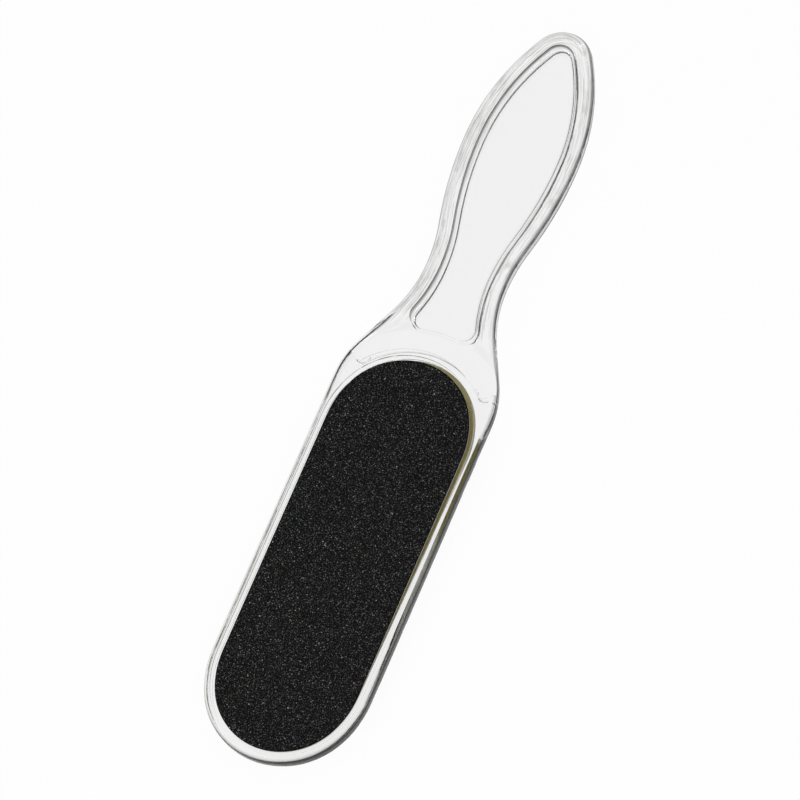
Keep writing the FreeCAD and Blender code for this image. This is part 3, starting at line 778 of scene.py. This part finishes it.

# %% [markdown]
# ## Painted shade on the steep edges
#
# The steep parts of the real plastic draw thin dark lines.  Bent rays and the
# cards give a part of that, and the rest is painted shade, laid on as a darker
# tint.  A tint by the angle of view would slide when the camera moves, so it
# follows how steep the surface is, which the paddle carries as an attribute.
# Upright walls stay nearly clear, or low views would show a black rim.

# %% Painted shade on steep surfaces
HEAD_PAINTED_SHADE = 0.6
HANDLE_PAINTED_SHADE = 0.9
SLOPE_PAINTED_SHADES = [(0.24, grey(0.0)), (0.4, grey(1.0)), (0.7, grey(1.0)), (0.9, grey(0.2))]
painted_shade_by_slope = tint_ramp(tree, steep, SLOPE_PAINTED_SHADES)
painted_shade_strength = carry(tree, lengthways, 0.0, HANDLE_IN_FULL, HEAD_PAINTED_SHADE, HANDLE_PAINTED_SHADE)
left_unshaded = reckon(tree, "SUBTRACT", 1.0, reckon(tree, "MULTIPLY", painted_shade_by_slope, painted_shade_strength))
# The plastic's colour: its tint with the streaks' painted shade, times the painted shade of the steep
# edges.
colour_with_painted_shade = add_node(tree, "ShaderNodeMix", data_type="RGBA", blend_type="MULTIPLY")
colour_with_painted_shade.inputs["Factor"].default_value = 1.0
tree.links.new(painted_streak_shade, colour_with_painted_shade.inputs["A"])
tree.links.new(left_unshaded, colour_with_painted_shade.inputs["B"])
tree.links.new(colour_with_painted_shade.outputs["Result"], plastic_shader.inputs["Base Color"])
print("painted edge shade:", len(tree.nodes), "nodes so far")

# %% [markdown]
# ## The hollow's lip
#
# A mould has no perfectly sharp edge, and the rounded lip of the hollow shows as
# a double line.  A bevel would need a new mesh, and the paddle should keep the
# CAD's, so the bump rounds the sharp edge that is there: a parabola over a
# narrow strip on each side of the lip's arc and of its two corner bends.


# %% Rounded lip and the bump of the plastic
def round_edge(middle, place, radius):
    """Distance from a middle, and a parabola that is one on a circle about it and ends beside it."""
    node = add_node(plastic_tree, "ShaderNodeVectorMath", operation="DISTANCE")
    feed(plastic_tree, node, (place, middle))
    away = node.outputs["Value"]
    off = reckon(plastic_tree, "ABSOLUTE", reckon(plastic_tree, "SUBTRACT", away, radius))
    near = carry(plastic_tree, off, 0.0, LIP_WIDTH, 1.0, 0.0)
    return away, reckon(plastic_tree, "POWER", near, 2.0)


LIP_WIDTH = 0.0003
LIP_HEIGHT = 0.15
LIP_STARTS = 0.62
LIP_FADE = 0.001
STREAK_HEIGHT = 0.16
RIPPLE_HEIGHT = 0.02
PAD_END_Y = (PAD_END[1] - LENGTH / 2) * MM
BEND_Y = PAD_END_Y + hollow_bend[1] * MM
level_spot = feed(tree, add_node(tree, "ShaderNodeCombineXYZ"), (sideways, lengthways, 0.0))
far, lip = round_edge((0.0, PAD_END_Y, 0.0), level_spot, HOLLOW_RADIUS * MM)
ahead_of = reckon(tree, "SUBTRACT", lengthways, PAD_END_Y + HOLLOW_RADIUS * LIP_STARTS * MM)
lip = reckon(tree, "MULTIPLY", lip, carry(tree, ahead_of, 0.0, LIP_FADE, 0.0, 1.0))
folded = feed(tree, add_node(tree, "ShaderNodeCombineXYZ"),
              (reckon(tree, "ABSOLUTE", sideways), lengthways, 0.0))
_, corner = round_edge((hollow_bend[0] * MM, BEND_Y, 0.0), folded, HOLLOW_CORNER * MM)
inner_half = reckon(tree, "LESS_THAN", far, (HOLLOW_RADIUS + HOLLOW_CORNER) * MM)
outer_side = reckon(tree, "LESS_THAN", lengthways, BEND_Y)
corner = reckon(tree, "MULTIPLY", corner, reckon(tree, "MULTIPLY", inner_half, outer_side))
lip = reckon(tree, "MAXIMUM", lip, corner)
ripple = mottle(tree, scale=70.0, detail=2.0)
height = reckon(tree, "ADD", reckon(tree, "MULTIPLY", raised, STREAK_HEIGHT),
                reckon(tree, "MULTIPLY", ripple.outputs["Share"], RIPPLE_HEIGHT))
height = reckon(tree, "SUBTRACT", height, reckon(tree, "MULTIPLY", lip, LIP_HEIGHT))
bump = add_node(tree, "ShaderNodeBump", Strength=1.0, Distance=0.001)
tree.links.new(height, bump.inputs["Height"])
tree.links.new(bump.outputs["Normal"], plastic_shader.inputs["Normal"])
print("clear plastic:", len(tree.nodes), "nodes")

# %% [markdown]
# ## Backing paper
#
# The abrasive sheet's carrier is a tough waterproof paper of an olive tan.  Its
# colour is only on its faces: where it is cut, pale fibres show.  A second
# material on the rim's faces would do it, but the CAD mesh stays as it is, so
# the normal tells the upright rim from the level faces.

# %% Olive paper material
FIBRE_SCALE = 900.0
FIBRE_DETAIL = 4.0
olive_paper, tree, shader = new_material("olive_paper")
olive = mottle(tree, FIBRE_SCALE, FIBRE_DETAIL,
               dark=(0.27, 0.22, 0.02, 1.0), light=(0.48, 0.4, 0.05, 1.0))
pale = mottle(tree, FIBRE_SCALE, FIBRE_DETAIL,
              dark=(0.45, 0.42, 0.36, 1.0), light=(0.85, 0.82, 0.76, 1.0))
facing = add_node(tree, "ShaderNodeSeparateXYZ")
tree.links.new(add_node(tree, "ShaderNodeTexCoord").outputs["Normal"], facing.inputs[0])
cut_edge = add_node(tree, "ShaderNodeMix", data_type="RGBA")
tree.links.new(reckon(tree, "ABSOLUTE", facing.outputs["Z"]), cut_edge.inputs["Factor"])
tree.links.new(pale.outputs["Colour"], cut_edge.inputs["A"])
tree.links.new(olive.outputs["Colour"], cut_edge.inputs["B"])
tree.links.new(cut_edge.outputs["Result"], shader.inputs["Base Color"])
bump = add_node(tree, "ShaderNodeBump", Strength=0.4, Distance=0.00005)
tree.links.new(olive.outputs["Share"], bump.inputs["Height"])
tree.links.new(bump.outputs["Normal"], shader.inputs["Normal"])
shader.inputs["Roughness"].default_value = 0.85
shader.inputs["Specular IOR Level"].default_value = 0.0
wear(nodes["front_backing_paper"], olive_paper)
wear(nodes["rear_backing_paper"], olive_paper)
print("paper on two sheets")

# %% [markdown]
# ## Pad shape
#
# Both pads are stamped to one oval: straight sides, and ends of three arcs.  The
# film and the grit need it too.  Their outlines could be read from the CAD mesh,
# but a function that gives half the width at any distance along the pad is
# shorter, and it also tells which grains fall inside.

# %% Oval of a pad
PAD_HALF = (HEAD_HALF - PAD_MARGIN) * MM
PAD_FAR = PAD_LENGTH / 2 * MM
END_STRETCH = HEAD_STRETCH * MM
TIP_RADIUS = PAD_HALF - END_STRETCH * TIP_SHARE
FLANK_RADIUS = PAD_HALF + END_STRETCH + END_STRETCH / (2 * TIP_SHARE)
STRAIGHT = PAD_FAR - PAD_HALF - END_STRETCH
FLANK_TURN = math.atan2(PAD_HALF + END_STRETCH - TIP_RADIUS, FLANK_RADIUS - PAD_HALF)
PAD_TURN = {"front": math.radians(0.04), "rear": math.radians(-1.2)}


def oval_half_width(along):
    """Half the pad's width at a distance along it, from its straight side, flank arc and tip arc."""
    past = np.maximum(np.abs(along) - STRAIGHT, 0.0)
    flank = PAD_HALF - FLANK_RADIUS + np.sqrt(np.maximum(FLANK_RADIUS ** 2 - past ** 2, 0.0))
    tip = np.sqrt(np.maximum(TIP_RADIUS ** 2 - (np.abs(along) - PAD_FAR + TIP_RADIUS) ** 2, 0.0))
    return np.where(past < FLANK_RADIUS * math.sin(FLANK_TURN), flank, tip)


def lay_on_pad(points, side):
    """Turns points about the pad's middle and moves them to where the CAD has that pad."""
    low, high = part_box(side + "_grit_coat")
    angle = PAD_TURN[side]
    spin = np.array([[math.cos(angle), math.sin(angle), 0.0],
                     [-math.sin(angle), math.cos(angle), 0.0],
                     [0.0, 0.0, 1.0]])
    shift = np.array([(low.x + high.x) / 2, (low.y + high.y) / 2, 0.0])
    return points @ spin + shift


print("pad oval", round(2 * PAD_HALF, 4), "by", round(2 * PAD_FAR, 4), "m")


# %% Slab in the shape of the oval
def oval_slab(low, high, inset, rings=10, steps=160):
    """A flat oval slab: shares of the rim's points from the middle out, on top, wall and floor."""
    angle = np.linspace(0.0, 2 * np.pi, steps, endpoint=False)
    along = (PAD_FAR - inset) * np.sin(angle)
    across = (oval_half_width(along * PAD_FAR / (PAD_FAR - inset)) - inset) * np.sign(np.cos(angle))
    rim = np.stack([np.where(np.abs(np.cos(angle)) < 1e-9, 0.0, across), along], axis=-1)
    share = np.linspace(0.0, 1.0, rings + 1)[1:]
    flat = (share[:, None, None] * rim[None, :, :]).reshape(-1, 2)
    top = np.column_stack([flat, np.full(len(flat), high)])
    bottom = np.column_stack([flat, np.full(len(flat), low)])
    points = np.vstack([top, bottom, [[0.0, 0.0, high], [0.0, 0.0, low]]])
    count = rings * steps
    here = np.arange(steps)
    after = (here + 1) % steps
    ring = np.arange(rings - 1)[:, None] * steps
    quads = np.stack([ring + here, ring + steps + here, ring + steps + after, ring + after], axis=-1)
    quads = quads.reshape(-1, 4)
    upper = np.vstack([quads[:, [0, 1, 2]], quads[:, [0, 2, 3]]])
    hub = np.stack([np.full(steps, 2 * count), here, after], axis=-1)
    under = np.vstack([upper, hub])[:, ::-1] + count
    under[under == 3 * count] = 2 * count + 1
    edge = (rings - 1) * steps
    wall = np.vstack([np.stack([edge + here, count + edge + here, count + edge + after], axis=-1),
                      np.stack([edge + here, count + edge + after, edge + after], axis=-1)])
    return points, np.vstack([upper, hub, under, wall])


print("slab helper ready")

# %% [markdown]
# ## Adhesive film
#
# A clear sticky film bonds each paper into its pocket, and only a faint warm
# tone of it is seen through the head.  A glass film would bend every ray twice
# more without showing, so this is a nearly see-through coat whose strength
# varies a little.  A hair's gap keeps it off the faces above and below.

# %% Adhesive films
FILM_ALPHA = (0.02, 0.07)
FILM_GAP = 0.00002
FILM_INSET = 0.00005
sticky_film, tree, shader = new_material("sticky_film")
smear = mottle(tree, scale=220.0, detail=3.0)
tree.links.new(carry(tree, smear.outputs["Share"], 0.0, 1.0, *FILM_ALPHA), shader.inputs["Alpha"])
shader.inputs["Base Color"].default_value = (0.5, 0.42, 0.12, 1.0)
shader.inputs["Roughness"].default_value = 0.4
shader.inputs["Specular IOR Level"].default_value = 0.0
for side in ("front", "rear"):
    low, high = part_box(side + "_adhesive_film")
    points, triangles = oval_slab(low.z + FILM_GAP, high.z - FILM_GAP, FILM_INSET)
    film = make_piece(side + "_film", lay_on_pad(points, side), triangles, False)
    wear(film, sticky_film)
    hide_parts(side + "_adhesive_film")
    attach(film, "root")
    print(film.name, len(triangles), "triangles")

# %% [markdown]
# ## Grit
#
# The pad is a coat of black resin with sharp mineral grains standing in it, and
# single facets of them catch the light.  A bump map could hint at that, but all
# its grains would be equally bright and the pad's edge would be smooth.  So each
# grain is a small eight-sided lump.  Resin and grain are two materials, and each
# facet carries its colour as an attribute: its grain's tone and a painted glint.

# %% Resin and grain materials
GRIT_SPECULAR = 0.04
GRAIN_ROUGHNESS = (0.4, 0.12)
black_resin, tree, shader = new_material("black_resin")
resin = mottle(tree, scale=2500.0, detail=3.0, dark=grey(0.001), light=grey(0.008))
tree.links.new(resin.outputs["Colour"], shader.inputs["Base Color"])
bump = add_node(tree, "ShaderNodeBump", Strength=0.8, Distance=0.0001)
tree.links.new(resin.outputs["Share"], bump.inputs["Height"])
tree.links.new(bump.outputs["Normal"], shader.inputs["Normal"])
shader.inputs["Roughness"].default_value = 0.6
shader.inputs["Specular IOR Level"].default_value = GRIT_SPECULAR

black_grain, tree, shader = new_material("black_grain")
tone = add_node(tree, "ShaderNodeAttribute", attribute_name="grain_tone").outputs["Fac"]
# Each facet's colour holds its grain's tone and a painted glint.
colour = add_node(tree, "ShaderNodeAttribute", attribute_name="grain_colour_and_glint").outputs["Color"]
tree.links.new(colour, shader.inputs["Base Color"])
tree.links.new(carry(tree, tone, 0.0, 1.0, *GRAIN_ROUGHNESS), shader.inputs["Roughness"])
shader.inputs["Specular IOR Level"].default_value = GRIT_SPECULAR
print("grit materials ready")

# %% [markdown]
# ## Grains by the thousand
#
# Real grains are sprinkled on wet resin: they lie close, never on top of each
# other, and every way up.  Blender could scatter copies of one grain, but then
# all would have one shape.  Here whole arrays make them at once: a honeycomb of
# places with some chance added, a random turn for each grain, and six arms of
# unequal length whose ends are its corners.

# %% Places and shapes of grains
GRAIN_PITCH = 0.00053
GRAIN_STRAY = 0.42
GRAIN_SIZE = (0.00017, 0.00029)
GRAIN_SINK = 0.00012
GRAIN_INSET = 0.00022
CORNERS = np.array([[1, 0, 0], [0, 1, 0], [-1, 0, 0], [0, -1, 0], [0, 0, 1], [0, 0, -1]], float)
FACETS = np.array([[0, 1, 4], [1, 2, 4], [2, 3, 4], [3, 0, 4],
                   [1, 0, 5], [2, 1, 5], [3, 2, 5], [0, 3, 5]])


def scatter(rng, inset):
    """Places on the pad: a honeycomb of points, each moved by chance, kept where inside the oval."""
    rows = np.arange(-PAD_FAR, PAD_FAR, GRAIN_PITCH * math.sqrt(3) / 2)
    columns = np.arange(-PAD_HALF - GRAIN_PITCH, PAD_HALF + GRAIN_PITCH, GRAIN_PITCH)
    across, along = np.meshgrid(columns, rows)
    across = across + (np.arange(len(rows)) % 2)[:, None] * GRAIN_PITCH / 2
    spots = np.stack([across, along], axis=-1).reshape(-1, 2)
    spots = spots + rng.uniform(-GRAIN_STRAY, GRAIN_STRAY, spots.shape) * GRAIN_PITCH
    inside = np.abs(spots[:, 0]) < oval_half_width(spots[:, 1] * PAD_FAR / (PAD_FAR - inset)) - inset
    return spots[inside & (np.abs(spots[:, 1]) < PAD_FAR - inset)]


def grains(rng, spots, level):
    """Eight-sided lumps of unequal arms, turned by random quaternions, with tops just under a level."""
    count = len(spots)
    spin = rng.normal(size=(count, 4))
    spin = spin / np.linalg.norm(spin, axis=1, keepdims=True)
    w, x, y, z = spin.T
    turn = np.stack([
        np.stack([1 - 2 * (y * y + z * z), 2 * (x * y - w * z), 2 * (x * z + w * y)], axis=-1),
        np.stack([2 * (x * y + w * z), 1 - 2 * (x * x + z * z), 2 * (y * z - w * x)], axis=-1),
        np.stack([2 * (x * z - w * y), 2 * (y * z + w * x), 1 - 2 * (x * x + y * y)], axis=-1),
    ], axis=1)
    reach = rng.uniform(GRAIN_SIZE[0], GRAIN_SIZE[1], (count, len(CORNERS)))
    arms = CORNERS[None, :, :] * reach[:, :, None]
    arms = np.einsum("gij,gkj->gki", turn, arms)
    top = arms[:, :, 2].max(axis=1)
    sink = rng.uniform(0.0, GRAIN_SINK, count)
    centre = np.column_stack([spots, level - top - sink])
    points = (centre[:, None, :] + arms).reshape(-1, 3)
    faces = (np.arange(count)[:, None, None] * len(CORNERS) + FACETS[None, :, :]).reshape(-1, 3)
    return points, faces


print("grains have", len(FACETS), "facets each")

# %% [markdown]
# ## Both grit coats
#
# Each coat is a slab of resin half as thick as the CAD's layer, with grains that
# fill the other half.  The rear one could be laid out by itself, but it is the
# same thing turned over, so its heights are mirrored and its faces reversed, or
# they would point inwards.  The grains' tone differs widely at random, and each
# facet's colour varies again on top of it as painted glint, so that a few facets
# are painted bright.

# %% Resin and grains of both pads
FIRST_SEED = 41
RESIN_GAP = 0.00002
RESIN_SHARE = 0.5
RESIN_TONE = 0.006
GRAIN_MEDIAN = 0.043
GRAIN_SPREAD = 0.72
# The facet spread and the brightest grain below set painted glints: single facets painted bright at
# random.
FACET_GLINT_SPREAD = 0.4
HUE_SPREAD = 0.1
BRIGHTEST_PAINTED_GLINT = 0.6
EACH_FACET = len(FACETS)
for number, side in enumerate(("front", "rear")):
    rng = np.random.default_rng(FIRST_SEED + number)
    low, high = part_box(side + "_grit_coat")
    thickness = high.z - low.z
    points, triangles = oval_slab(RESIN_GAP, thickness * RESIN_SHARE, 0.0)
    spots = scatter(rng, GRAIN_INSET)
    grain_points, grain_faces = grains(rng, spots, thickness)
    tone = np.repeat(rng.uniform(0.0, 1.0, len(spots)) ** 2, EACH_FACET)
    spread = np.repeat(rng.normal(0.0, GRAIN_SPREAD, len(spots)), EACH_FACET)
    # Painted glint: each facet's colour is spread again on top of its grain's tone, so a few facets are
    # painted bright.
    spread = spread + rng.normal(0.0, FACET_GLINT_SPREAD, len(grain_faces))
    tone_and_painted_glint = np.minimum(GRAIN_MEDIAN * np.exp(spread), BRIGHTEST_PAINTED_GLINT)
    hue = 1 + np.repeat(rng.normal(0.0, HUE_SPREAD, (len(spots), 3)), EACH_FACET, axis=0)
    every_point = np.vstack([points, grain_points])
    every_face = np.vstack([triangles, grain_faces + len(points)])
    if side == "rear":
        every_point = every_point * [1.0, 1.0, -1.0] + [0.0, 0.0, high.z]
        every_face = every_face[:, ::-1]
    else:
        every_point = every_point + [0.0, 0.0, low.z]
    grit = make_piece(side + "_grit", lay_on_pad(every_point, side), every_face, False)
    grit.data.materials.append(black_resin)
    grit.data.materials.append(black_grain)
    is_grain = np.arange(len(every_face)) >= len(triangles)
    grit.data.polygons.foreach_set("material_index", is_grain.astype(np.int32))
    tones = np.concatenate([np.zeros(len(triangles)), tone]).astype(np.float32)
    layer = grit.data.attributes.new("grain_tone", "FLOAT", "FACE")
    layer.data.foreach_set("value", tones)
    colours = np.ones((len(every_face), 4), np.float32)
    colours[:, :3] = RESIN_TONE
    colours[is_grain, :3] = np.clip(tone_and_painted_glint[:, None] * hue, 0.0, 1.0)
    layer = grit.data.attributes.new("grain_colour_and_glint", "FLOAT_COLOR", "FACE")
    layer.data.foreach_set("color", colours.ravel())
    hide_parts(side + "_grit_coat")
    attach(grit, "root")
    print(grit.name, len(spots), "grains", len(every_face), "triangles")
